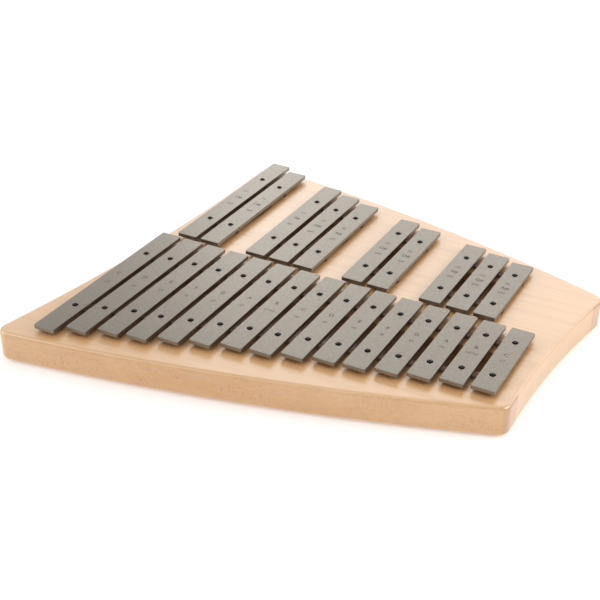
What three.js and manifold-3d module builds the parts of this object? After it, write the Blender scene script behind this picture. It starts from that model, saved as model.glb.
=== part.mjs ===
// Table glockenspiel: 25 steel bars, two chromatic octaves from C to C, on a solid beech board.
// The naturals are the front row and the sharps the back row. Each bar lies on two felt strips,
// where it does not vibrate, and two sleeved nails through its holes keep it in place. A bar
// lifts off its nails. Millimetres, +Z up, low notes at -X, player at -Y. The origin is in the
// middle of the board's footprint, on the surface that the feet stand on.
import * as THREE from "three";
import { mergeVertices } from "three/addons/utils/BufferGeometryUtils.js";
import Module from "manifold-3d";

// Driving dimensions
const PITCH = 25; // centre to centre of neighbouring naturals
const BAR_WIDTH = 20;
const BAR_THICKNESS = 3.5;
const LOWEST_BAR_LENGTH = 189.5; // a free steel bar this long and 3.5 thick sounds C5, 523 Hz
const SEMITONES_TO_HALF_LENGTH = 24; // pitch goes with 1 / length squared
const NODE_SHARE = 0.224; // a free bar's still points, as a share of its length from each end
const BAR_HOLE_RADIUS = 2.5;
const ROW_GAP = 6.25; // between the naturals' far ends and the sharps' near ends

const BOARD_THICKNESS = 27;
const BOARD_ROUNDOVER = 3;
const FOOT_RADIUS = 9;
const FOOT_HEIGHT = 2;
const FOOT_INSET = 32; // foot centre to the board's corner, along both edges

const STRIP_WIDTH = 6;
const STRIP_THICKNESS = 3;
const FRONT_STRIP_PAST = 5; // past the centres of the run's end bars
const BACK_STRIP_PAST = BAR_WIDTH / 2;
const NAIL_RADIUS = 1;
const NAIL_DEPTH = 14; // below the board's top
const NAIL_POINT = 1.5;
const NAIL_HOLE_RADIUS = 1.4;
const SLEEVE_RADIUS = 1.65;
const SLEEVE_DOME = 0.8;
const SLEEVE_ABOVE_BAR = 1.5;

const TROUGH_DEPTH = 14;
const TROUGH_TO_STRIP = 12; // from a strip's centre line to the trough's edge
const TROUGH_CORNER_SHARE = 0.45; // how far its corners are rounded along X, in shorter sides
const TROUGH_END_SHARE = 0.48; // how far they are rounded along Y, in lengths of the trough's end
const FRONT_TROUGH_PAST = 8; // past the centres of the run's end bars
const BACK_TROUGHS_PAST = [9.2, 8.4, 8, 7.5]; // the lowest group's shows beside its last bar

// The board's corners, counter-clockwise from the player's left, each with the radius that
// rounds it and the bulge of the edge that leads on from it: out where positive, in where not.
const BOARD_CORNERS = [
  { x: -218, y: -207.5, radius: 12, bulge: 11.6 },
  { x: 199.5, y: -104.5, radius: 10, bulge: -5.9 },
  { x: 217, y: 92.5, radius: 16, bulge: 12.1 },
  { x: -183.5, y: 190.5, radius: 14, bulge: -11.5 },
];
const CHORD_ERROR = 0.1; // how far a facet of the board may stand off its arc
const CORNER_STEPS = 6; // facets round a trough's corner
const ROUNDOVER_STEPS = 2;
const HOLE_SIDES = 12;
const NAIL_SIDES = 8;
const CUT_MARGIN = 1; // how far a cutting solid reaches past the face that it cuts

// Heights
const BOARD_TOP = FOOT_HEIGHT + BOARD_THICKNESS;
const STRIP_TOP = BOARD_TOP + STRIP_THICKNESS;
const SLEEVE_TOP = STRIP_TOP + BAR_THICKNESS + SLEEVE_ABOVE_BAR;

// The notes. `place` counts naturals from the lowest C, so a sharp stands at a half.
const OCTAVE = [
  { note: "c", semitone: 0, place: 0 },
  { note: "c_sharp", semitone: 1, place: 0.5 },
  { note: "d", semitone: 2, place: 1 },
  { note: "d_sharp", semitone: 3, place: 1.5 },
  { note: "e", semitone: 4, place: 2 },
  { note: "f", semitone: 5, place: 3 },
  { note: "f_sharp", semitone: 6, place: 3.5 },
  { note: "g", semitone: 7, place: 4 },
  { note: "g_sharp", semitone: 8, place: 4.5 },
  { note: "a", semitone: 9, place: 5 },
  { note: "a_sharp", semitone: 10, place: 5.5 },
  { note: "b", semitone: 11, place: 6 },
];
const SEMITONES = 12; // in an octave
const PLACES = 7;
const FIRST_OCTAVE = 5;
const OCTAVES = 2;
const MIDDLE_PLACE = 7; // the natural that stands at x = 0
const GROUP_BREAK = 1.5 * PITCH; // sharps further apart than this are in different groups

const wasm = await Module();
wasm.setup();

// Solids

// A closed three.js geometry as a manifold-3d solid.
function solidOf(geometry) {
  const bare = geometry.clone();
  bare.deleteAttribute("normal");
  bare.deleteAttribute("uv");
  const merged = mergeVertices(bare, 1e-4);
  return new wasm.Manifold(
    new wasm.Mesh({
      numProp: 3,
      vertProperties: merged.attributes.position.array,
      triVerts: new Uint32Array(merged.index.array),
    }),
  );
}

// A manifold-3d solid as a three.js geometry.
function geometryOf(solid) {
  const mesh = solid.getMesh();
  const geometry = new THREE.BufferGeometry();
  geometry.setAttribute("position", new THREE.BufferAttribute(mesh.vertProperties, 3));
  geometry.setIndex(new THREE.BufferAttribute(mesh.triVerts, 1));
  geometry.computeVertexNormals();
  return geometry;
}

function joined(solids) {
  return solids.reduce((whole, solid) => whole.add(solid));
}

// A flat plate of the shape's outline, from z = low to z = high.
function plate(shape, low, high) {
  const options = { depth: high - low, bevelEnabled: false, curveSegments: CORNER_STEPS };
  return new THREE.ExtrudeGeometry(shape, options).translate(0, 0, low);
}

// An upright round bar with flats, centred on (x, y), from z = low to z = high.
function post(x, y, radius, low, high, sides) {
  const geometry = new THREE.CylinderGeometry(radius, radius, high - low, sides);
  return geometry.rotateX(Math.PI / 2).translate(x, y, (low + high) / 2);
}

// Bars

function barLength(semitone) {
  return LOWEST_BAR_LENGTH * 2 ** (-semitone / SEMITONES_TO_HALF_LENGTH);
}

// One bar's name, place and hole positions. The naturals' far ends stand in one straight line,
// and so do the sharps' near ends.
function layOut(note, semitone, place) {
  const length = barLength(semitone);
  const sharp = !Number.isInteger(place);
  const near = sharp ? ROW_GAP / 2 : -ROW_GAP / 2 - length;
  return {
    name: `bar_${note}`,
    sharp,
    x: (place - MIDDLE_PLACE) * PITCH,
    near,
    far: near + length,
    nearHole: near + NODE_SHARE * length,
    farHole: near + (1 - NODE_SHARE) * length,
  };
}

function allBars() {
  const bars = [];
  for (let octave = 0; octave < OCTAVES; octave++) {
    for (const { note, semitone, place } of OCTAVE) {
      const name = `${note}${FIRST_OCTAVE + octave}`;
      bars.push(layOut(name, semitone + SEMITONES * octave, place + PLACES * octave));
    }
  }
  const top = `c${FIRST_OCTAVE + OCTAVES}`;
  bars.push(layOut(top, SEMITONES * OCTAVES, PLACES * OCTAVES));
  return bars;
}

function barSolid(bar) {
  const { x, near, far } = bar;
  const top = STRIP_TOP + BAR_THICKNESS;
  const box = new THREE.BoxGeometry(BAR_WIDTH, far - near, BAR_THICKNESS);
  box.translate(x, (near + far) / 2, (STRIP_TOP + top) / 2);
  let solid = solidOf(box);
  for (const y of [bar.nearHole, bar.farHole]) {
    const hole = post(x, y, BAR_HOLE_RADIUS, STRIP_TOP - CUT_MARGIN, top + CUT_MARGIN, HOLE_SIDES);
    solid = solid.subtract(solidOf(hole));
  }
  return solid;
}

// Sharps stand in groups of two and three, parted where two naturals have no sharp between.
function groupsOf(sharps) {
  const groups = [];
  for (const bar of sharps) {
    const last = groups.at(-1)?.at(-1);
    if (last && bar.x - last.x < GROUP_BREAK) groups.at(-1).push(bar);
    else groups.push([bar]);
  }
  return groups;
}

// Strips and nails

// The line through one end's holes of a run of bars, carried on by `past` at both ends.
function holeLine(bars, hole, past) {
  const points = bars.map((bar) => new THREE.Vector2(bar.x, bar[hole]));
  const carriedOn = (end, inner) => {
    const step = end.clone().sub(inner);
    return end.clone().addScaledVector(step, past / Math.abs(step.x));
  };
  const first = carriedOn(points[0], points[1]);
  const last = carriedOn(points.at(-1), points.at(-2));
  return [first, ...points, last];
}

function shifted(line, dy) {
  return line.map((point) => new THREE.Vector2(point.x, point.y + dy));
}

// A nail in its black sleeve: the nail goes into the board, the sleeve stands in the bar's hole.
function nailGeometry(x, y) {
  const profile = [
    [0, BOARD_TOP - NAIL_DEPTH],
    [NAIL_RADIUS, BOARD_TOP - NAIL_DEPTH + NAIL_POINT],
    [NAIL_RADIUS, BOARD_TOP + STRIP_THICKNESS / 2],
    [SLEEVE_RADIUS, BOARD_TOP + STRIP_THICKNESS / 2],
    [SLEEVE_RADIUS, SLEEVE_TOP - SLEEVE_DOME],
    [SLEEVE_RADIUS / 2, SLEEVE_TOP],
    [0, SLEEVE_TOP],
  ];
  const points = profile.map(([radius, z]) => new THREE.Vector2(radius, z));
  const nail = new THREE.LatheGeometry(points, NAIL_SIDES);
  return nail.rotateX(Math.PI / 2).translate(x, y, 0);
}

// A felt strip under one end of a run of bars, with the nails that stand in it.
function stripSolid(bars, hole) {
  const line = holeLine(bars, hole, bars[0].sharp ? BACK_STRIP_PAST : FRONT_STRIP_PAST);
  const outline = [
    ...shifted(line, -STRIP_WIDTH / 2),
    ...shifted(line, STRIP_WIDTH / 2).reverse(),
  ];
  const felt = solidOf(plate(new THREE.Shape(outline), BOARD_TOP, STRIP_TOP));
  const nails = bars.map((bar) => solidOf(nailGeometry(bar.x, bar[hole])));
  return joined([felt, ...nails]);
}

// Outlines with rounded corners

// The circle that an edge from `a` to `b` runs along. The radius is negative where it bulges in.
function edgeCircle(a, b, bulge) {
  const chord = b.clone().sub(a);
  const half = chord.length() / 2;
  const radius = (half ** 2 + bulge ** 2) / (2 * bulge);
  const outward = new THREE.Vector2(chord.y, -chord.x).normalize();
  const centre = a.clone().add(b).multiplyScalar(0.5);
  return { centre: centre.addScaledVector(outward, bulge - radius), radius };
}

// The centre of a round of radius r that touches both circles from the inside of the outline.
function cornerCentre(before, after, corner, r) {
  const r0 = Math.abs(before.radius - r);
  const r1 = Math.abs(after.radius - r);
  const between = after.centre.clone().sub(before.centre);
  const d = between.length();
  const along = (d ** 2 + r0 ** 2 - r1 ** 2) / (2 * d);
  const off = Math.sqrt(r0 ** 2 - along ** 2);
  const side = new THREE.Vector2(-between.y, between.x).divideScalar(d);
  const foot = before.centre.clone().addScaledVector(between, along / d);
  const meets = [off, -off].map((s) => foot.clone().addScaledVector(side, s));
  return meets[0].distanceTo(corner) < meets[1].distanceTo(corner) ? meets[0] : meets[1];
}

// Where the round's circle touches an edge's circle.
function touchPoint(edge, centre) {
  const out = centre.clone().sub(edge.centre).normalize();
  return edge.centre.clone().addScaledVector(out, Math.abs(edge.radius));
}

// Points along the shorter arc about `centre` from `from` to `to`, without the last one.
function arcPoints(centre, from, to) {
  const start = from.clone().sub(centre).angle();
  let turn = to.clone().sub(centre).angle() - start;
  if (turn > Math.PI) turn -= 2 * Math.PI;
  if (turn < -Math.PI) turn += 2 * Math.PI;
  const radius = from.distanceTo(centre);
  const rise = radius * (1 - Math.cos(turn / 2));
  const steps = Math.ceil(Math.sqrt(rise / CHORD_ERROR));
  return Array.from({ length: steps }, (_, i) => {
    const angle = start + (turn * i) / steps;
    const arm = new THREE.Vector2(Math.cos(angle), Math.sin(angle));
    return centre.clone().addScaledVector(arm, radius);
  });
}

function roundedOutline(corners) {
  const count = corners.length;
  const places = corners.map(({ x, y }) => new THREE.Vector2(x, y));
  const edges = corners.map(({ bulge }, i) => edgeCircle(places[i], places[(i + 1) % count], bulge));
  const rounds = corners.map(({ radius }, i) => {
    const before = edges[(i + count - 1) % count];
    const centre = cornerCentre(before, edges[i], places[i], radius);
    return { centre, start: touchPoint(before, centre), end: touchPoint(edges[i], centre) };
  });
  return rounds.flatMap((round, i) => {
    const next = rounds[(i + 1) % count];
    return [
      ...arcPoints(round.centre, round.start, round.end),
      ...arcPoints(edges[i].centre, round.end, next.start),
    ];
  });
}

// Board and feet

function boardBlank() {
  const shape = new THREE.Shape(roundedOutline(BOARD_CORNERS));
  const options = {
    depth: BOARD_THICKNESS - 2 * BOARD_ROUNDOVER,
    bevelThickness: BOARD_ROUNDOVER,
    bevelSize: BOARD_ROUNDOVER,
    bevelOffset: -BOARD_ROUNDOVER,
    bevelSegments: ROUNDOVER_STEPS,
  };
  const blank = new THREE.ExtrudeGeometry(shape, options);
  return blank.translate(0, 0, FOOT_HEIGHT + BOARD_ROUNDOVER);
}

// A straight-sided shape whose corners are rounded off, each from `reach` along the side before
// it and the side after it.
function softCornered(corners) {
  const shape = new THREE.Shape();
  corners.forEach(({ place, reach }, i) => {
    const before = corners.at(i - 1).place.clone().sub(place);
    const after = corners[(i + 1) % corners.length].place.clone().sub(place);
    const start = before.setLength(reach[0]).add(place);
    const end = after.setLength(reach[1]).add(place);
    if (i === 0) shape.moveTo(start.x, start.y);
    else shape.lineTo(start.x, start.y);
    shape.quadraticCurveTo(place.x, place.y, end.x, end.y);
  });
  return shape;
}

// The resonance trough milled under a run of bars, between its two strips.
function troughSolid(bars, past) {
  const nearLine = shifted(holeLine(bars, "nearHole", past), TROUGH_TO_STRIP);
  const farLine = shifted(holeLine(bars, "farHole", past), -TROUGH_TO_STRIP);
  const width = nearLine.at(-1).x - nearLine[0].x;
  const [left, right] = [0, -1].map((end) => {
    const height = farLine.at(end).y - nearLine.at(end).y;
    return { x: TROUGH_CORNER_SHARE * Math.min(width, height), y: TROUGH_END_SHARE * height };
  });
  const shape = softCornered([
    { place: nearLine[0], reach: [left.y, left.x] },
    { place: nearLine.at(-1), reach: [right.x, right.y] },
    { place: farLine.at(-1), reach: [right.y, right.x] },
    { place: farLine[0], reach: [left.x, left.y] },
  ]);
  return solidOf(plate(shape, BOARD_TOP - TROUGH_DEPTH, BOARD_TOP + CUT_MARGIN));
}

function nailHoleSolid(x, y) {
  const low = BOARD_TOP - NAIL_DEPTH - CUT_MARGIN;
  return solidOf(post(x, y, NAIL_HOLE_RADIUS, low, BOARD_TOP + CUT_MARGIN, NAIL_SIDES));
}

function boardSolid(bars, runs) {
  const past = [FRONT_TROUGH_PAST, ...BACK_TROUGHS_PAST];
  const troughs = runs.map((run, i) => troughSolid(run, past[i]));
  const holes = bars.flatMap((bar) => [
    nailHoleSolid(bar.x, bar.nearHole),
    nailHoleSolid(bar.x, bar.farHole),
  ]);
  return solidOf(boardBlank()).subtract(joined([...troughs, ...holes]));
}

// A foot stands in from its corner, towards the middle of the board.
function footGeometry({ x, y }) {
  const footX = x - Math.sign(x) * FOOT_INSET;
  const footY = y - Math.sign(y) * FOOT_INSET;
  return post(footX, footY, FOOT_RADIUS, 0, FOOT_HEIGHT, 2 * HOLE_SIDES);
}

// Assembly

const beech = () => new THREE.MeshStandardMaterial({ color: 0xe6c9a4, roughness: 0.5 });
const steel = () =>
  new THREE.MeshStandardMaterial({ color: 0xa99f94, roughness: 0.4, metalness: 0.9 });
const felt = () => new THREE.MeshStandardMaterial({ color: 0x4a3528, roughness: 0.95 });
const rubber = () => new THREE.MeshStandardMaterial({ color: 0x2a2a2a, roughness: 0.8 });

const glockenspiel = new THREE.Group();

function addPiece(name, geometry, material) {
  const mesh = new THREE.Mesh(geometry, material);
  mesh.name = name;
  glockenspiel.add(mesh);
}

const bars = allBars();
const naturals = bars.filter((bar) => !bar.sharp);
const sharpGroups = groupsOf(bars.filter((bar) => bar.sharp));

addPiece("board", geometryOf(boardSolid(bars, [naturals, ...sharpGroups])), beech());
["front_left", "front_right", "back_right", "back_left"].forEach((corner, i) => {
  addPiece(`foot_${corner}`, footGeometry(BOARD_CORNERS[i]), rubber());
});
const runs = { front: naturals };
sharpGroups.forEach((group, i) => {
  runs[`back_${i + 1}`] = group;
});
for (const [run, members] of Object.entries(runs)) {
  addPiece(`strip_${run}_near`, geometryOf(stripSolid(members, "nearHole")), felt());
  addPiece(`strip_${run}_far`, geometryOf(stripSolid(members, "farHole")), felt());
}
for (const bar of bars) addPiece(bar.name, geometryOf(barSolid(bar)), steel());

// The origin goes to the middle of the footprint.
const footprint = new THREE.Box3().setFromObject(glockenspiel);
const middle = footprint.getCenter(new THREE.Vector3());
glockenspiel.position.set(-middle.x, -middle.y, 0);

export default glockenspiel;
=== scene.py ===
"""The looks of a table glockenspiel: steel bars on felt strips over a solid beech board.

Every size is in metres. The bars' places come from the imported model; the board's outline is worked
out from its four corners. Each nail, sleeve, strip, bar and foot is a piece of its own.
"""
import math

import bmesh
import bpy
from mathutils import Matrix, Vector


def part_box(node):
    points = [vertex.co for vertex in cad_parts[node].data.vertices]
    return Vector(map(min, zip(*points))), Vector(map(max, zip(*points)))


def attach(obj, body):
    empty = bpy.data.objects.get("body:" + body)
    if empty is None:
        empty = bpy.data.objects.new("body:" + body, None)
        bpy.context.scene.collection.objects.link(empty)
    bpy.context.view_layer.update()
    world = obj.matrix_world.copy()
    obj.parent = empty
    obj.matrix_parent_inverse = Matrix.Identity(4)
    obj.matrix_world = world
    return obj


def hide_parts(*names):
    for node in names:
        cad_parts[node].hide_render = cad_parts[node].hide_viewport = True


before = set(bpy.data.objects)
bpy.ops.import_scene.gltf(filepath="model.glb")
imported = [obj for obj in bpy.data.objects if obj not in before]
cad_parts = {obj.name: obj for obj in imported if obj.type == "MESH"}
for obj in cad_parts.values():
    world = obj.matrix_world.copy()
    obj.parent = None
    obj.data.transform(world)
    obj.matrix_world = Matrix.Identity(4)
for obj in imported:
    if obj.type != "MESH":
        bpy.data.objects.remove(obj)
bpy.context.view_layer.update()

MM = 0.001
QUARTER_STEPS = 4  # facets round a small quarter circle
FACE_AREA_WEIGHT = 80  # how much more a large face turns its corners' normals than a small one
SHARPEST_MITRE = 0.3  # cosine of half the turn at which a moved outline's corner is held back

# Bars, and their holes
NOTES = ("c", "c_sharp", "d", "d_sharp", "e", "f", "f_sharp", "g", "g_sharp", "a", "a_sharp", "b")
FLAT_NAMES = {"c_sharp": "Db", "d_sharp": "Eb", "f_sharp": "Gb", "g_sharp": "Ab", "a_sharp": "Bb"}
OCTAVES = (5, 6)
TOP_NOTE = ("c", 7)
NODE_SHARE = 0.224  # a hole's distance from the bar's end, as a share of its length
HOLE_RADIUS = 2.5 * MM
HOLE_SIDES = 32
HOLE_CHAMFER = 0.35 * MM
BAR_EDGE = 0.25 * MM
EDGE_STEPS = 3  # facets round a bar's or a strip's long edges
BAR_CORNER = 1.2 * MM
BAR_CORNER_STEPS = 5
GROUP_BREAK = 1.5  # sharps further apart than this, in naturals, are in different groups

# Strips, nails and sleeves
STRIP_WIDTH = 6 * MM
STRIP_EDGE = 0.7 * MM
FRONT_STRIP_PAST = 5 * MM  # the centres of the run's end bars
BACK_STRIP_PAST = 10 * MM
NAIL_RADIUS = 1 * MM
NAIL_DEPTH = 14 * MM
NAIL_POINT = 1.5 * MM
NAIL_BEVEL = 0.3 * MM
NAIL_CLEARANCE = 0.05 * MM
NAIL_SIDES = 20
NAIL_HOLE_PAST = 0.5 * MM  # below the nail's point
NAIL_HOLE_SIDES = 16
SLEEVE_RADIUS = 1.65 * MM
SLEEVE_CLEARANCE = 0.02 * MM
SLEEVE_WALL = 0.6 * MM
SLEEVE_ABOVE_BAR = 1.5 * MM
SLEEVE_SIDES = 24
DOME_HEIGHT = 1.4 * MM
DOME_STEPS = 8

# Board
# Corners in the shared frame, counter-clockwise from the front left: x, y, the radius that rounds
# the corner, and the bulge of the edge that leads on from it, out where positive and in where not
BOARD_CORNERS = (
    (-217.8 * MM, -201.1 * MM, 10 * MM, 11.6 * MM),
    (199.7 * MM, -96.1 * MM, 10 * MM, -5.9 * MM),
    (217.8 * MM, 101.1 * MM, 12 * MM, 12.1 * MM),
    (-183.3 * MM, 198.9 * MM, 14 * MM, -11.5 * MM),
)
ROUNDOVER = 3 * MM
ROUNDOVER_STEPS = 6
SEAMS = (  # where the outer staves' glue lines meet the right end, and their slopes in plan
    (197 * MM, -76 * MM, 0.247),
    (212 * MM, 80 * MM, -0.245),
)
SEAM_WIDTH = 0.5 * MM
SEAM_FADE = (0.3, 0.7)  # where a glue line starts and stops fading, as shares of its width
STAVE_FADE = 0.2 * MM  # over which the wood darkens past a glue line
BOARD_EDGE_STEPS = 40
BOARD_CORNER_STEPS = 12

# Troughs
TROUGH_DEPTH = 14 * MM
TROUGH_TO_STRIP = 12 * MM  # from the trough's side to the strip's middle
TROUGH_CORNER_SHARE = 0.45  # along X, of the trough's shorter side
TROUGH_END_SHARE = 0.48  # along Y, of the trough's end
TROUGH_PAST = {  # the centres of the run's end bars
    "front": 8 * MM,
    "back_1": 9.2 * MM,
    "back_2": 8.4 * MM,
    "back_3": 8 * MM,
    "back_4": 7.5 * MM,
}
TROUGH_LIP = 0.5 * MM
TROUGH_LIP_BEND = 0.3  # where the broken rim bends, as a share of the lip
TROUGH_FILLET = 2.5 * MM
TROUGH_CORNER_STEPS = 10

# Feet
FOOT_EDGE = 0.6 * MM
FOOT_DISH_DEPTH = 0.5 * MM
FOOT_DISH_SHARES = (0.32, 0.4)  # of the foot's radius, at the dish's floor and at its rim
FOOT_SIDES = 48

# Stamped note names
LETTER_HEIGHT = 4.2 * MM
SMALL_LETTER_HEIGHT = 3.2 * MM
LETTER_BOLD = 0.12 * MM
CAPITAL_SHARE = 0.7  # a capital's height, as a share of the font's size
FRONT_MARK_SHARES = (0.40, 0.57)  # of the way from a bar's far hole to its near one
BACK_MARK_SHARES = (0.32, 0.47, 0.63)
LETTER_PROUD = 0.02 * MM
LETTER_DEPTH = 0.06 * MM
LETTER_CURVE_STEPS = 3
SAME_POINT = 1e-7  # letters' corners closer than this are joined

# Colours
# The beech's top colours are paler and less orange than its edge colours: painted light, a lit copy
# of the same wood for the top and a shaded copy for the sides
BEECH_LIT_TOP_LIGHT = (0.76, 0.455, 0.225)
BEECH_LIT_TOP_DARK = (0.69, 0.385, 0.17)
BEECH_SHADED_EDGE_LIGHT = (0.65, 0.32, 0.075)
BEECH_SHADED_EDGE_DARK = (0.57, 0.255, 0.05)
BEECH_BROAD = (0.76, 0.45, 0.225)
BEECH_RING = (0.60, 0.32, 0.12)
BEECH_PORE = (0.42, 0.22, 0.10)
BEECH_WAVE = (0.50, 0.21, 0.05)
BEECH_RAY = (0.40, 0.12, 0.02)
BEECH_STAVE = (0.46, 0.195, 0.05)
BEECH_SEAM = (0.24, 0.12, 0.06)
STEEL_LIGHT = (0.335, 0.303, 0.265)
STEEL_DARK = (0.28, 0.252, 0.218)
STEEL_CLOUD = (0.315, 0.29, 0.255)
ETCHED_DARK = (0.10, 0.09, 0.08)
ETCHED_LIGHT = (0.22, 0.20, 0.18)
PLASTIC_DARK = (0.010, 0.009, 0.009)
PLASTIC_LIGHT = (0.018, 0.017, 0.016)
WIRE_DARK = (0.48, 0.47, 0.45)
WIRE_LIGHT = (0.60, 0.59, 0.57)
FELT_DARK = (0.085, 0.046, 0.028)
FELT_LIGHT = (0.28, 0.155, 0.09)
RUBBER_DARK = (0.025, 0.025, 0.025)
RUBBER_LIGHT = (0.05, 0.05, 0.05)
WHITE = (1, 1, 1, 1)

# Camera
CAMERA_AZIMUTH = 28.493
CAMERA_ELEVATION = 30.966
CAMERA_ROLL = 0.296
CAMERA_DISTANCE = 0.98095
CAMERA_AIM = (-10.15 * MM, -41.91 * MM)  # on the plane of the bars' tops
CAMERA_LENS = 68.2
CAMERA_SENSOR = 36

# Studio
CONTRAST = ((0.05, 0.04), (0.2, 0.18), (0.5, 0.5))  # linear light given, linear light shown
COMBINED_CURVE = 3  # the curve for red, green and blue together
ROOM_BRIGHTNESS = 0.42
FLOOR_REACH = 80.0
FLOOR_GLOW = 0.25
FAR_FLOOR_GLOW = 0.65
GLOW_RISES = (0.65, 1.4)  # how far from the middle of the floor its glow starts and stops rising
SOFTBOXES = (  # name, azimuth and elevation in degrees, distance, width, height, brightness
    ("right", 5, 32, 0.95, 0.6, 0.4, 4.4),
    ("left", 204, 31, 1.7, 1.3, 1.1, 1.9),
    ("front", 262, 38, 1.7, 1.6, 1.0, 0.95),
    ("top", 0, 88, 1.7, 1.1, 0.9, 0.75),
    ("back", 102, 26, 1.7, 1.5, 1.2, 1.2),
    ("back_left", 140, 22, 1.7, 1.2, 0.8, 0.75),
    ("back_right", 56, 24, 1.7, 0.9, 0.5, 2.3),
)


# ---------------------------------------------------------------- outlines

def shifted(points, dy):
    """The points moved along Y."""
    return [Vector((p.x, p.y + dy)) for p in points]


def inset(points, distance):
    """The closed counter-clockwise outline moved in by distance, or out where it is negative."""
    moved = []
    count = len(points)
    for i, point in enumerate(points):
        before = (point - points[i - 1]).normalized()
        after = (points[(i + 1) % count] - point).normalized()
        inward = (Vector((-before.y, before.x)) + Vector((-after.y, after.x))).normalized()
        reach = distance / max(SHARPEST_MITRE, inward.dot(Vector((-after.y, after.x))))
        moved.append(point + inward * reach)
    return moved


def circle(x, y, radius, sides):
    turns = (2 * math.pi * i / sides for i in range(sides))
    return [Vector((x + radius * math.cos(t), y + radius * math.sin(t))) for t in turns]


def quarter_turns(steps):
    """Angles from 0 to a right angle, both included."""
    return [math.pi / 2 * i / steps for i in range(steps + 1)]


def edge_circle(a, b, bulge):
    """Centre and signed radius of the arc from a to b, negative where the edge bulges in."""
    chord = b - a
    half = chord.length / 2
    radius = (half**2 + bulge**2) / (2 * bulge)
    outward = Vector((chord.y, -chord.x)).normalized()
    return (a + b) / 2 + outward * (bulge - radius), radius


def corner_centre(before, after, corner, r):
    """Centre of the round of radius r that touches both edge circles from inside the outline."""
    (c0, radius0), (c1, radius1) = before, after
    r0, r1 = abs(radius0 - r), abs(radius1 - r)
    between = c1 - c0
    d = between.length
    along = (d**2 + r0**2 - r1**2) / (2 * d)
    off = math.sqrt(r0**2 - along**2)
    side = Vector((-between.y, between.x)) / d
    foot = c0 + between * (along / d)
    return min((foot + side * off, foot - side * off), key=lambda p: (p - corner).length)


def touch_point(edge, centre):
    """Where the round about centre meets the edge's circle."""
    edge_centre, radius = edge
    return edge_centre + (centre - edge_centre).normalized() * abs(radius)


def arc_points(centre, start, end, steps):
    """Points along the shorter arc from start to end, without the last one."""
    first = math.atan2(start.y - centre.y, start.x - centre.x)
    turn = math.atan2(end.y - centre.y, end.x - centre.x) - first
    turn = (turn + math.pi) % (2 * math.pi) - math.pi
    radius = (start - centre).length
    angles = (first + turn * i / steps for i in range(steps))
    return [centre + radius * Vector((math.cos(t), math.sin(t))) for t in angles]


def board_outline():
    """The board seen from above: four bulging edges and the rounds between them."""
    places = [Vector(corner[:2]) for corner in BOARD_CORNERS]
    count = len(places)
    edges = [
        edge_circle(places[i], places[(i + 1) % count], BOARD_CORNERS[i][3]) for i in range(count)
    ]
    rounds = []
    for i, place in enumerate(places):
        centre = corner_centre(edges[i - 1], edges[i], place, BOARD_CORNERS[i][2])
        rounds.append((centre, touch_point(edges[i - 1], centre), touch_point(edges[i], centre)))
    outline = []
    for i, (centre, start, end) in enumerate(rounds):
        next_start = rounds[(i + 1) % count][1]
        outline += arc_points(centre, start, end, BOARD_CORNER_STEPS)
        outline += arc_points(edges[i][0], end, next_start, BOARD_EDGE_STEPS)
    return outline


def soft_cornered(corners, steps):
    """A straight-sided outline from (place, reach before, reach after), rounded off from there."""
    outline = []
    count = len(corners)
    for i, (place, before, after) in enumerate(corners):
        start = place + (corners[i - 1][0] - place).normalized() * before
        end = place + (corners[(i + 1) % count][0] - place).normalized() * after
        for step in range(steps + 1):
            t = step / steps
            outline.append(start * (1 - t) ** 2 + place * 2 * t * (1 - t) + end * t**2)
    return outline


# ---------------------------------------------------------------- bars' places

class Bar:
    """Where one bar lies, read from its CAD node."""

    def __init__(self, note, octave):
        self.note, self.octave = note, octave
        self.name = f"{note}{octave}"
        self.node = f"bar_{self.name}"
        low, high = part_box(self.node)
        self.x = (low[0] + high[0]) / 2
        self.near, self.far = low[1], high[1]
        self.bottom, self.top = low[2], high[2]
        self.half_width = (high[0] - low[0]) / 2
        length = self.far - self.near
        self.holes = {
            "near": self.near + NODE_SHARE * length,
            "far": self.far - NODE_SHARE * length,
        }
        self.sharp = "sharp" in note


def all_bars():
    bars = [Bar(note, octave) for octave in OCTAVES for note in NOTES]
    bars.append(Bar(*TOP_NOTE))
    return bars


def runs_of(bars):
    """The front row, and the back row's groups, parted where two naturals have no sharp between."""
    naturals = [bar for bar in bars if not bar.sharp]
    pitch = naturals[1].x - naturals[0].x
    groups = []
    for bar in (bar for bar in bars if bar.sharp):
        if groups and bar.x - groups[-1][-1].x < GROUP_BREAK * pitch:
            groups[-1].append(bar)
        else:
            groups.append([bar])
    return {"front": naturals, **{f"back_{i + 1}": group for i, group in enumerate(groups)}}


def hole_line(bars, end, past):
    """The line through one end's holes of a run of bars, carried on by past at both ends."""
    points = [Vector((bar.x, bar.holes[end])) for bar in bars]
    first, last = points[0] - points[1], points[-1] - points[-2]
    points.insert(0, points[0] + first * (past / abs(first.x)))
    points.append(points[-1] + last * (past / abs(last.x)))
    return points


# ---------------------------------------------------------------- solids

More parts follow.
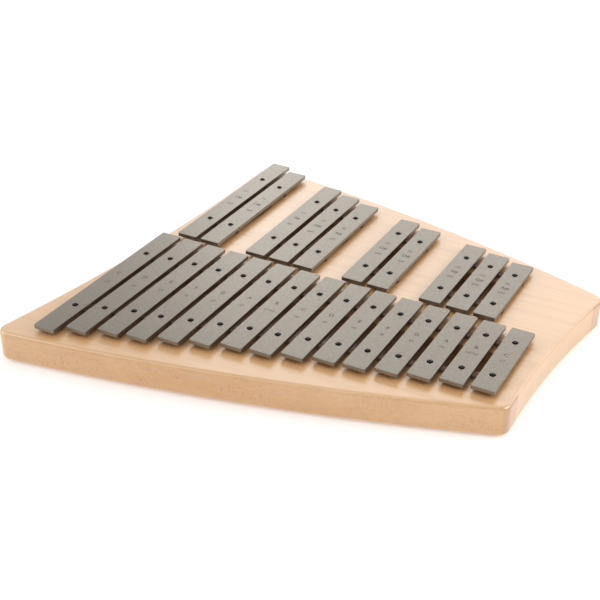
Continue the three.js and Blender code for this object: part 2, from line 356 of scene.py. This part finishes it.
class Solid:
    """A closed mesh, made loop by loop."""

    def __init__(self):
        self.mesh = bmesh.new()

    def loop(self, points, z):
        return [self.mesh.verts.new((p.x, p.y, z)) for p in points]

    def wall(self, lower, upper):
        count = len(lower)
        for i in range(count):
            j = (i + 1) % count
            self.mesh.faces.new((lower[i], lower[j], upper[j], upper[i]))

    def skin(self, rings):
        """Loops at the rings' heights with walls between them. Returns the loops."""
        loops = [self.loop(points, z) for points, z in rings]
        for lower, upper in zip(loops, loops[1:]):
            self.wall(lower, upper)
        return loops

    def lid(self, loops):
        """A flat face inside the first loop and outside the others."""
        edges = []
        for loop in loops:
            for i, vert in enumerate(loop):
                pair = (vert, loop[(i + 1) % len(loop)])
                edges.append(self.mesh.edges.get(pair) or self.mesh.edges.new(pair))
        bmesh.ops.triangle_fill(self.mesh, edges=edges, use_beauty=True, use_dissolve=False)

    def finish(self, name, material, body):
        bmesh.ops.recalc_face_normals(self.mesh, faces=self.mesh.faces)
        data = bpy.data.meshes.new(name)
        self.mesh.to_mesh(data)
        self.mesh.free()
        piece = piece_of(name, data, material, body)
        modifier = piece.modifiers.new("weighted_normals", "WEIGHTED_NORMAL")
        modifier.weight = FACE_AREA_WEIGHT
        modifier.keep_sharp = True
        return piece


def piece_of(name, data, material, body):
    """The mesh as a smooth piece that rides on the body."""
    piece = bpy.data.objects.new(name, data)
    bpy.context.collection.objects.link(piece)
    data.materials.clear()
    data.materials.append(material)
    data.shade_smooth()
    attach(piece, body)
    return piece


def rounded_rings(outline, bottom, top, edge, steps):
    """(outline, z) pairs from the bottom of a plate to its top, with round long edges."""
    turns = quarter_turns(steps)
    lower = [(edge * (1 - math.sin(t)), bottom + edge * (1 - math.cos(t))) for t in turns]
    upper = [(edge * (1 - math.cos(t)), top - edge * (1 - math.sin(t))) for t in turns]
    return [(inset(outline, distance), z) for distance, z in lower + upper]


def hole_rings(x, y, bottom, top):
    """(outline, z) pairs down a bar's hole, with its rims broken."""
    wide = circle(x, y, HOLE_RADIUS + HOLE_CHAMFER, HOLE_SIDES)
    bore = circle(x, y, HOLE_RADIUS, HOLE_SIDES)
    return [(wide, top), (bore, top - HOLE_CHAMFER), (bore, bottom + HOLE_CHAMFER), (wide, bottom)]


def lathe(profile, x, y, sides):
    """A solid turned about Z: (radius, z) pairs from the axis at the bottom to it at the top."""
    solid = Solid()
    first = solid.mesh.verts.new((x, y, profile[0][1]))
    last = solid.mesh.verts.new((x, y, profile[-1][1]))
    loops = solid.skin([(circle(x, y, radius, sides), z) for radius, z in profile[1:-1]])
    for i in range(sides):
        j = (i + 1) % sides
        solid.mesh.faces.new((first, loops[0][j], loops[0][i]))
        solid.mesh.faces.new((last, loops[-1][i], loops[-1][j]))
    return solid


# ---------------------------------------------------------------- materials

class Finish:
    """A node material on one Principled shader, with short calls for its patterns."""

    def __init__(self, name, color, roughness, **sockets):
        self.material = bpy.data.materials.new(name)
        self.material.use_nodes = True
        self.tree = self.material.node_tree
        self.shader = self.tree.nodes["Principled BSDF"]
        self.shader.inputs["Base Color"].default_value = (*color, 1)
        self.shader.inputs["Roughness"].default_value = roughness
        for socket, value in sockets.items():
            self.shader.inputs[socket.replace("_", " ")].default_value = value
        self.place = self.node("ShaderNodeTexCoord").outputs["Object"]

    def node(self, kind, **settings):
        node = self.tree.nodes.new(kind)
        for key, value in settings.items():
            setattr(node, key, value)
        return node

    def feed(self, socket, value):
        if hasattr(value, "is_linked"):
            self.tree.links.new(value, socket)
        else:
            socket.default_value = value

    def math(self, operation, a, b=0.0):
        node = self.node("ShaderNodeMath", operation=operation)
        self.feed(node.inputs[0], a)
        self.feed(node.inputs[1], b)
        return node.outputs[0]

    def stretched(self, cells):
        """Object coordinates counted in cells per metre along X, Y and Z."""
        node = self.node("ShaderNodeMapping")
        self.feed(node.inputs["Vector"], self.place)
        node.inputs["Scale"].default_value = cells
        return node.outputs[0]

    def noise(self, cells, detail=2.0, roughness=0.5, distortion=0.0):
        node = self.node("ShaderNodeTexNoise")
        self.feed(node.inputs["Vector"], self.stretched(cells))
        node.inputs["Scale"].default_value = 1
        node.inputs["Detail"].default_value = detail
        node.inputs["Roughness"].default_value = roughness
        node.inputs["Distortion"].default_value = distortion
        return node.outputs[0]

    def between(self, value, low, high, to_low=0.0, to_high=1.0):
        """value carried from low..high to to_low..to_high, and held at the ends."""
        node = self.node("ShaderNodeMapRange")
        self.feed(node.inputs["Value"], value)
        for socket, number in zip(("From Min", "From Max", "To Min", "To Max"),
                                  (low, high, to_low, to_high)):
            node.inputs[socket].default_value = number
        return node.outputs[0]

    def mix(self, share, a, b):
        node = self.node("ShaderNodeMix", data_type="RGBA")
        self.feed(node.inputs["Factor"], share)
        self.feed(node.inputs["A"], a if hasattr(a, "is_linked") else (*a, 1))
        self.feed(node.inputs["B"], b if hasattr(b, "is_linked") else (*b, 1))
        return node.outputs["Result"]

    def product(self, first, *others):
        """Masks and shares multiplied together."""
        result = first
        for other in others:
            result = self.math("MULTIPLY", result, other)
        return result

    def facing(self, axis):
        """How far the surface faces along X, Y or Z, either way, from 0 to 1."""
        split = self.node("ShaderNodeSeparateXYZ")
        self.feed(split.inputs[0], self.node("ShaderNodeNewGeometry").outputs["Normal"])
        return self.math("ABSOLUTE", split.outputs[axis])

    def color(self, value):
        self.feed(self.shader.inputs["Base Color"], value)

    def roughness(self, value):
        self.feed(self.shader.inputs["Roughness"], value)

    def bump(self, height, depth, strength=1.0):
        node = self.node("ShaderNodeBump")
        node.inputs["Distance"].default_value = depth
        node.inputs["Strength"].default_value = strength
        self.feed(node.inputs["Height"], height)
        self.feed(self.shader.inputs["Normal"], node.outputs[0])


def outer_staves(finish):
    """Masks of the darker staves along the board's long edges and of the glue lines by them."""
    split = finish.node("ShaderNodeSeparateXYZ")
    finish.feed(split.inputs[0], finish.place)
    x, y = split.outputs["X"], split.outputs["Y"]
    depths = []
    for (seam_x, seam_y, slope), side in zip(SEAMS, (-1, 1)):
        line = finish.product(finish.math("SUBTRACT", x, seam_x), slope)
        past = finish.math("SUBTRACT", finish.math("SUBTRACT", y, seam_y), line)
        depths.append(finish.product(past, side))
    depth = finish.math("MAXIMUM", *depths)
    stave = finish.between(depth, 0, STAVE_FADE)
    full, gone = (share * SEAM_WIDTH for share in SEAM_FADE)
    seam = finish.between(finish.math("ABSOLUTE", depth), full, gone, 1, 0)
    return stave, seam


def grain(finish, streaks, pores):
    """The wood's tone on every face: streaks, broad bands, growth rings and pores, with the top
    painted paler than the sides as painted light.
    """
    lit_top_share = finish.facing("Z")
    broad = finish.noise((4, 34, 34), detail=3)
    rings = finish.noise((2.5, 110, 110), detail=2, distortion=0.6)
    # Painted light: faces that look up take the paler top colours, the others the darker, more
    # orange edge colours
    light = finish.mix(lit_top_share, BEECH_SHADED_EDGE_LIGHT, BEECH_LIT_TOP_LIGHT)
    dark = finish.mix(lit_top_share, BEECH_SHADED_EDGE_DARK, BEECH_LIT_TOP_DARK)
    tone = finish.mix(finish.between(streaks, 0.3, 0.7), light, dark)
    tone = finish.mix(finish.between(broad, 0.35, 0.7, 0, 0.4), tone, BEECH_BROAD)
    tone = finish.mix(finish.between(rings, 0.5, 0.62, 0, 0.4), tone, BEECH_RING)
    return finish.mix(finish.product(pores, 0.35), tone, BEECH_PORE)


def long_edge_figure(finish, tone):
    """Wavy figure and ray flecks, on the faces along Y."""
    edge = finish.between(finish.facing("Y"), 0.5, 0.95)
    waves = finish.between(finish.noise((45, 500, 620), detail=3, distortion=0.8), 0.48, 0.64)
    tone = finish.mix(finish.product(waves, edge, 0.35), tone, BEECH_WAVE)
    patches = finish.between(finish.noise((16, 30, 60), detail=1), 0.47, 0.6)
    rays = finish.between(finish.noise((850, 600, 300), detail=2, distortion=0.5), 0.58, 0.66)
    return finish.mix(finish.product(rays, patches, edge, 0.65), tone, BEECH_RAY)


def end_figure(finish, tone):
    """Darker outer staves and their glue lines, on the faces along X."""
    stave, seam = outer_staves(finish)
    ends = finish.between(finish.facing("X"), 0.5, 0.8)
    tone = finish.mix(finish.product(stave, ends, 0.9), tone, BEECH_STAVE)
    return finish.mix(finish.product(seam, ends, 0.6), tone, BEECH_SEAM)


def beech():
    """Clear varnished beech with its grain along X."""
    finish = Finish("beech", (0.8, 0.5, 0.25), 0.38, Specular_IOR_Level=1.0, Coat_Weight=1.0,
                    Coat_Roughness=0.28, Coat_IOR=2.0)
    streaks = finish.noise((10, 520, 520), detail=5, roughness=0.62, distortion=0.2)
    pores = finish.between(finish.noise((230, 1700, 1700), detail=1), 0.66, 0.74)
    tone = grain(finish, streaks, pores)
    tone = long_edge_figure(finish, tone)
    tone = end_figure(finish, tone)
    finish.color(tone)
    finish.roughness(finish.between(streaks, 0.3, 0.7, 0.34, 0.46))
    finish.bump(finish.math("ADD", streaks, finish.product(pores, -0.6)), 0.05 * MM, 0.4)
    return finish.material


def bar_steel():
    """Warm grey satin plate on steel, finely brushed along the bar."""
    finish = Finish("bar_steel", (0.40, 0.37, 0.34), 0.36, Metallic=1.0)
    brushed = finish.noise((1500, 22, 1500), detail=3, roughness=0.6)
    mottled = finish.noise((420, 420, 420), detail=4, roughness=0.65)
    cloudy = finish.noise((28, 16, 28), detail=2)
    tone = finish.mix(finish.between(mottled, 0.3, 0.7), STEEL_LIGHT, STEEL_DARK)
    tone = finish.mix(finish.between(cloudy, 0.35, 0.65, 0, 0.5), tone, STEEL_CLOUD)
    finish.color(tone)
    finish.roughness(finish.between(mottled, 0.3, 0.7, 0.32, 0.43))
    finish.bump(finish.math("ADD", brushed, mottled), 0.006 * MM, 0.6)
    return finish.material


def etched():
    """The dull metal of a stamped letter."""
    finish = Finish("etched", (0.12, 0.105, 0.095), 0.6, Metallic=0.7)
    worn = finish.noise((900, 900, 900), detail=3)
    finish.color(finish.mix(finish.between(worn, 0.35, 0.65), ETCHED_DARK, ETCHED_LIGHT))
    return finish.material


def sleeve_plastic():
    """Glossy black sleeve, faintly uneven from the mould."""
    finish = Finish("sleeve_plastic", (0.012, 0.011, 0.011), 0.24)
    uneven = finish.noise((700, 700, 700), detail=2)
    finish.roughness(finish.between(uneven, 0.3, 0.7, 0.2, 0.34))
    finish.color(finish.mix(uneven, PLASTIC_DARK, PLASTIC_LIGHT))
    finish.bump(uneven, 0.03 * MM, 0.3)
    return finish.material


def nail_steel():
    """Bright drawn wire."""
    finish = Finish("nail_steel", (0.55, 0.54, 0.52), 0.3, Metallic=1.0)
    drawn = finish.noise((2500, 2500, 60), detail=2)
    finish.color(finish.mix(drawn, WIRE_DARK, WIRE_LIGHT))
    finish.roughness(finish.between(drawn, 0.3, 0.7, 0.25, 0.4))
    return finish.material


def brown_felt():
    """Dense dark brown felt, with its fibres lying every way."""
    finish = Finish("brown_felt", (0.15, 0.08, 0.05), 0.95, Sheen_Weight=0.3)
    fibres = finish.noise((2200, 2200, 2200), detail=5, roughness=0.7)
    lumps = finish.noise((300, 300, 300), detail=2)
    finish.color(finish.mix(fibres, FELT_DARK, FELT_LIGHT))
    finish.bump(finish.math("ADD", fibres, lumps), 0.25 * MM, 0.8)
    return finish.material


def foot_rubber():
    """Matt rubber with a fine moulded grain."""
    finish = Finish("foot_rubber", (0.035, 0.035, 0.035), 0.8)
    moulded = finish.noise((1600, 1600, 1600), detail=3)
    finish.color(finish.mix(moulded, RUBBER_DARK, RUBBER_LIGHT))
    finish.roughness(finish.between(moulded, 0.3, 0.7, 0.7, 0.88))
    finish.bump(moulded, 0.08 * MM, 0.5)
    return finish.material


def pale_floor():
    """A white floor that glows a little, and more further out."""
    finish = Finish("pale_floor", (0.9, 0.9, 0.9), 0.8, Specular_IOR_Level=0.1)
    finish.shader.inputs["Emission Color"].default_value = WHITE
    away = finish.node("ShaderNodeVectorMath", operation="LENGTH")
    finish.feed(away.inputs[0], finish.place)
    glow = finish.between(away.outputs["Value"], *GLOW_RISES, FLOOR_GLOW, FAR_FLOOR_GLOW)
    finish.feed(finish.shader.inputs["Emission Strength"], glow)
    return finish.material


# ---------------------------------------------------------------- pieces

def make_bar(bar, steel):
    """A flat bar with broken edges and two chamfered holes."""
    left, right = bar.x - bar.half_width, bar.x + bar.half_width
    corners = ((left, bar.near), (right, bar.near), (right, bar.far), (left, bar.far))
    rounded = [(Vector(corner), BAR_CORNER, BAR_CORNER) for corner in corners]
    outline = soft_cornered(rounded, BAR_CORNER_STEPS)
    solid = Solid()
    loops = solid.skin(rounded_rings(outline, bar.bottom, bar.top, BAR_EDGE, EDGE_STEPS))
    bores = [solid.skin(hole_rings(bar.x, y, bar.bottom, bar.top)) for y in bar.holes.values()]
    solid.lid([loops[-1], *(bore[0] for bore in bores)])
    solid.lid([loops[0], *(bore[-1] for bore in bores)])
    piece = solid.finish(f"steel_{bar.node}", steel, bar.node)
    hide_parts(bar.node)


def letters_mesh(words, height, bold, x, y, z):
    """Flat letters as thin solids, centred on (x, y) and standing LETTER_PROUD above z."""
    curve = bpy.data.curves.new("letters", "FONT")
    curve.body = words
    curve.size = height / CAPITAL_SHARE
    curve.align_x = "CENTER"
    curve.resolution_u = LETTER_CURVE_STEPS
    curve.offset = bold
    curve.extrude = (LETTER_PROUD + LETTER_DEPTH) / 2
    holder = bpy.data.objects.new("letters", curve)
    bpy.context.collection.objects.link(holder)
    bpy.context.view_layer.update()
    graph = bpy.context.evaluated_depsgraph_get()
    data = bpy.data.meshes.new_from_object(holder.evaluated_get(graph))
    data.transform(Matrix.Translation((x, y - height / 2, z + (LETTER_PROUD - LETTER_DEPTH) / 2)))
    bpy.data.objects.remove(holder)
    bpy.data.curves.remove(curve)
    return data


def make_marks(bar, dull):
    """The note's stamped name between the holes, with its pitch, and a sharp's other name."""
    letter = bar.note[0].upper()
    name = letter + ("#" if bar.sharp else "")
    pitch = f"{name.lower()}{bar.octave}"
    if letter == "B":  # called H in some countries
        pitch = f"b{bar.octave}/h{bar.octave}"
    marks = list(zip((name, pitch), FRONT_MARK_SHARES))
    if bar.sharp:
        marks = list(zip((FLAT_NAMES[bar.note], name, pitch), BACK_MARK_SHARES))
    joined = bmesh.new()
    for words, share in marks:
        y = bar.holes["far"] + (bar.holes["near"] - bar.holes["far"]) * share
        height, bold = (LETTER_HEIGHT, LETTER_BOLD) if words == name else (SMALL_LETTER_HEIGHT, 0)
        data = letters_mesh(words, height, bold, bar.x, y, bar.top)
        joined.from_mesh(data)
        bpy.data.meshes.remove(data)
    bmesh.ops.remove_doubles(joined, verts=joined.verts, dist=SAME_POINT)
    data = bpy.data.meshes.new("marks")
    joined.to_mesh(data)
    joined.free()
    piece = piece_of(f"marks_{bar.name}", data, dull, bar.node)
    data.shade_flat()


def make_strip(run, end, bars, felt):
    """A strip along one end's holes of a run of bars, punched for its sleeves."""
    node = f"strip_{run}_{end}"
    board_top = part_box("board")[1][2]
    line = hole_line(bars, end, FRONT_STRIP_PAST if run == "front" else BACK_STRIP_PAST)
    outline = shifted(line, -STRIP_WIDTH / 2) + shifted(line, STRIP_WIDTH / 2)[::-1]
    solid = Solid()
    loops = solid.skin(rounded_rings(outline, board_top, bars[0].bottom, STRIP_EDGE, EDGE_STEPS))
    punched = []
    for bar in bars:
        hole = circle(bar.x, bar.holes[end], SLEEVE_RADIUS, SLEEVE_SIDES)
        punched.append(solid.skin([(hole, bars[0].bottom), (hole, board_top)]))
    solid.lid([loops[-1], *(hole[0] for hole in punched)])
    solid.lid([loops[0], *(hole[-1] for hole in punched)])
    piece = solid.finish(f"felt_{node}", felt, "base")
    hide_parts(node)


def nail_profile(bottom, top):
    """(radius, z) pairs from a wire nail's point to its flat end."""
    shank = [(NAIL_RADIUS, bottom + NAIL_POINT), (NAIL_RADIUS, top - NAIL_BEVEL)]
    return [(0, bottom), *shank, (NAIL_RADIUS - NAIL_BEVEL, top), (0, top)]


def sleeve_profile(bottom, bore_top, top):
    """(radius, z) pairs from the end of a sleeve's bore, down and out, and up over its dome."""
    bore = NAIL_RADIUS + NAIL_CLEARANCE
    radius = SLEEVE_RADIUS - SLEEVE_CLEARANCE
    crown = top - DOME_HEIGHT
    profile = [(0, bore_top), (bore, bore_top), (bore, bottom), (radius, bottom), (radius, crown)]
    for t in quarter_turns(DOME_STEPS)[1:-1]:
        profile.append((radius * math.cos(t), crown + DOME_HEIGHT * math.sin(t)))
    return [*profile, (0, top)]


def make_nail(bar, run, end, metal, plastic):
    """A wire nail in the board and the domed sleeve pushed over it."""
    node = f"strip_{run}_{end}"
    x, y = bar.x, bar.holes[end]
    board_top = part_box("board")[1][2]
    sleeve_top = bar.top + SLEEVE_ABOVE_BAR
    nail_top = sleeve_top - SLEEVE_WALL
    nail = lathe(nail_profile(board_top - NAIL_DEPTH, nail_top), x, y, NAIL_SIDES)
    piece = nail.finish(f"nail_{bar.name}_{end}", metal, "base")
    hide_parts(node)
    profile = sleeve_profile(board_top, nail_top + NAIL_CLEARANCE, sleeve_top)
    sleeve = lathe(profile, x, y, SLEEVE_SIDES)
    piece = sleeve.finish(f"sleeve_{bar.name}_{end}", plastic, "base")
    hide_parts(node)


def trough_outline(bars, past):
    """A trough's rim seen from above: straight sides along the hole lines, and rounded ends."""
    near = shifted(hole_line(bars, "near", past), TROUGH_TO_STRIP)
    far = shifted(hole_line(bars, "far", past), -TROUGH_TO_STRIP)
    width = near[-1].x - near[0].x
    left, right = (far[i].y - near[i].y for i in (0, -1))
    left_x, right_x = (TROUGH_CORNER_SHARE * min(width, height) for height in (left, right))
    left_y, right_y = TROUGH_END_SHARE * left, TROUGH_END_SHARE * right
    corners = [(near[0], left_y, left_x), (near[-1], right_x, right_y),
               (far[-1], right_y, right_x), (far[0], left_x, left_y)]
    return soft_cornered(corners, TROUGH_CORNER_STEPS)


def trough_rings(outline, top):
    """(outline, z) pairs from a trough's rim down to its floor, with a fillet at the floor."""
    floor = top - TROUGH_DEPTH
    bend = TROUGH_LIP_BEND * TROUGH_LIP
    rings = [(inset(outline, -TROUGH_LIP), top), (inset(outline, -bend), top - bend),
             (outline, top - TROUGH_LIP)]
    for t in quarter_turns(QUARTER_STEPS):
        distance = TROUGH_FILLET * (1 - math.cos(t))
        rings.append((inset(outline, distance), floor + TROUGH_FILLET * (1 - math.sin(t))))
    return rings


def make_board(bars, runs, wood):
    """The solid board, with a trough under each run of bars and a hole for each nail."""
    low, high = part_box("board")
    bottom, top = low[2], high[2]
    solid = Solid()
    loops = solid.skin(rounded_rings(board_outline(), bottom, top, ROUNDOVER, ROUNDOVER_STEPS))
    rims = []
    for run, members in runs.items():
        rings = solid.skin(trough_rings(trough_outline(members, TROUGH_PAST[run]), top))
        solid.lid([rings[-1]])
        rims.append(rings[0])
    for bar in bars:
        for y in bar.holes.values():
            hole = circle(bar.x, y, NAIL_RADIUS + NAIL_CLEARANCE, NAIL_HOLE_SIDES)
            rings = solid.skin([(hole, top), (hole, top - NAIL_DEPTH - NAIL_HOLE_PAST)])
            solid.lid([rings[-1]])
            rims.append(rings[0])
    solid.lid([loops[-1], *rims])
    solid.lid([loops[0]])
    piece = solid.finish("beech_board", wood, "base")
    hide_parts("board")


def make_foot(node, rubber):
    """A round foot with a soft lower rim and a shallow dish underneath."""
    low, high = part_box(node)
    x, y = (low[0] + high[0]) / 2, (low[1] + high[1]) / 2
    radius = (high[0] - low[0]) / 2
    bottom, top = low[2], high[2]
    dish = bottom + FOOT_DISH_DEPTH
    dish_floor, dish_rim = (share * radius for share in FOOT_DISH_SHARES)
    profile = [(0, dish), (dish_floor, dish), (dish_rim, bottom)]
    for t in quarter_turns(QUARTER_STEPS):
        rim = radius - FOOT_EDGE * (1 - math.sin(t))
        profile.append((rim, bottom + FOOT_EDGE * (1 - math.cos(t))))
    profile += [(radius, top), (0, top)]
    piece = lathe(profile, x, y, FOOT_SIDES).finish(f"rubber_{node}", rubber, "base")
    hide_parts(node)


# ---------------------------------------------------------------- stage

def make_camera(bars):
    """The camera in front of the board and to its right, a little above it."""
    azimuth, elevation = math.radians(CAMERA_AZIMUTH), math.radians(CAMERA_ELEVATION)
    back = Vector((math.sin(azimuth) * math.cos(elevation),
                   -math.cos(azimuth) * math.cos(elevation), math.sin(elevation)))
    right = Vector((math.cos(azimuth), math.sin(azimuth), 0))
    up = back.cross(right)
    roll = math.radians(CAMERA_ROLL)
    x_axis = right * math.cos(roll) + up * math.sin(roll)
    y_axis = up * math.cos(roll) - right * math.sin(roll)
    aim = Vector((*CAMERA_AIM, bars[0].top))
    data = bpy.data.cameras.new("camera")
    data.sensor_width = CAMERA_SENSOR
    data.lens = CAMERA_LENS
    camera = bpy.data.objects.new("camera", data)
    bpy.context.collection.objects.link(camera)
    turn = Matrix((x_axis, y_axis, back)).transposed().to_4x4()
    camera.matrix_world = Matrix.Translation(aim + back * CAMERA_DISTANCE) @ turn
    bpy.context.scene.camera = camera


def make_softbox(name, azimuth, elevation, distance, width, height, brightness):
    """A soft light round the board, azimuth counter-clockwise from +X, that faces its middle."""
    turn, rise = math.radians(azimuth), math.radians(elevation)
    level = math.cos(rise)
    place = Vector((math.cos(turn) * level, math.sin(turn) * level, math.sin(rise))) * distance
    data = bpy.data.lights.new(name, "AREA")
    data.shape = "RECTANGLE"
    data.size = width
    data.size_y = height
    data.energy = brightness * math.pi * width * height  # so brightness is the panel's own
    light = bpy.data.objects.new(name, data)
    bpy.context.collection.objects.link(light)
    light.location = place
    light.rotation_euler = (-place).to_track_quat("-Z", "Y").to_euler()


def make_contrast(view):
    """A camera's gentle contrast curve over the standard view."""
    view.view_transform = "Standard"
    view.use_curve_mapping = True
    curve = view.curve_mapping.curves[COMBINED_CURVE]
    for given, shown in CONTRAST:
        curve.points.new(given, shown)
    view.curve_mapping.update()


def make_floor():
    floor = bpy.data.meshes.new("floor")
    corners = [(-FLOOR_REACH, -FLOOR_REACH, 0), (FLOOR_REACH, -FLOOR_REACH, 0),
               (FLOOR_REACH, FLOOR_REACH, 0), (-FLOOR_REACH, FLOOR_REACH, 0)]
    floor.from_pydata(corners, [], [(0, 1, 2, 3)])
    floor.materials.append(pale_floor())
    plane = bpy.data.objects.new("floor", floor)
    bpy.context.collection.objects.link(plane)


def make_room():
    """Even white light from all round."""
    world = bpy.data.worlds.new("studio")
    world.use_nodes = True
    background = world.node_tree.nodes["Background"]
    background.inputs["Color"].default_value = WHITE
    background.inputs["Strength"].default_value = ROOM_BRIGHTNESS
    bpy.context.scene.world = world


def make_stage():
    make_floor()
    make_room()
    make_contrast(bpy.context.scene.view_settings)
    for name, *shape in SOFTBOXES:
        make_softbox(name, *shape)


# ---------------------------------------------------------------- making it

def main():
    bars = all_bars()
    runs = runs_of(bars)
    make_camera(bars)
    make_stage()
    make_board(bars, runs, beech())
    steel, dull = bar_steel(), etched()
    for bar in bars:
        make_bar(bar, steel)
        make_marks(bar, dull)
    felt, metal, plastic = brown_felt(), nail_steel(), sleeve_plastic()
    for run, members in runs.items():
        for end in ("near", "far"):
            make_strip(run, end, members, felt)
            for bar in members:
                make_nail(bar, run, end, metal, plastic)
    rubber = foot_rubber()
    for node in sorted(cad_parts):
        if node.startswith("foot_"):
            make_foot(node, rubber)


main()
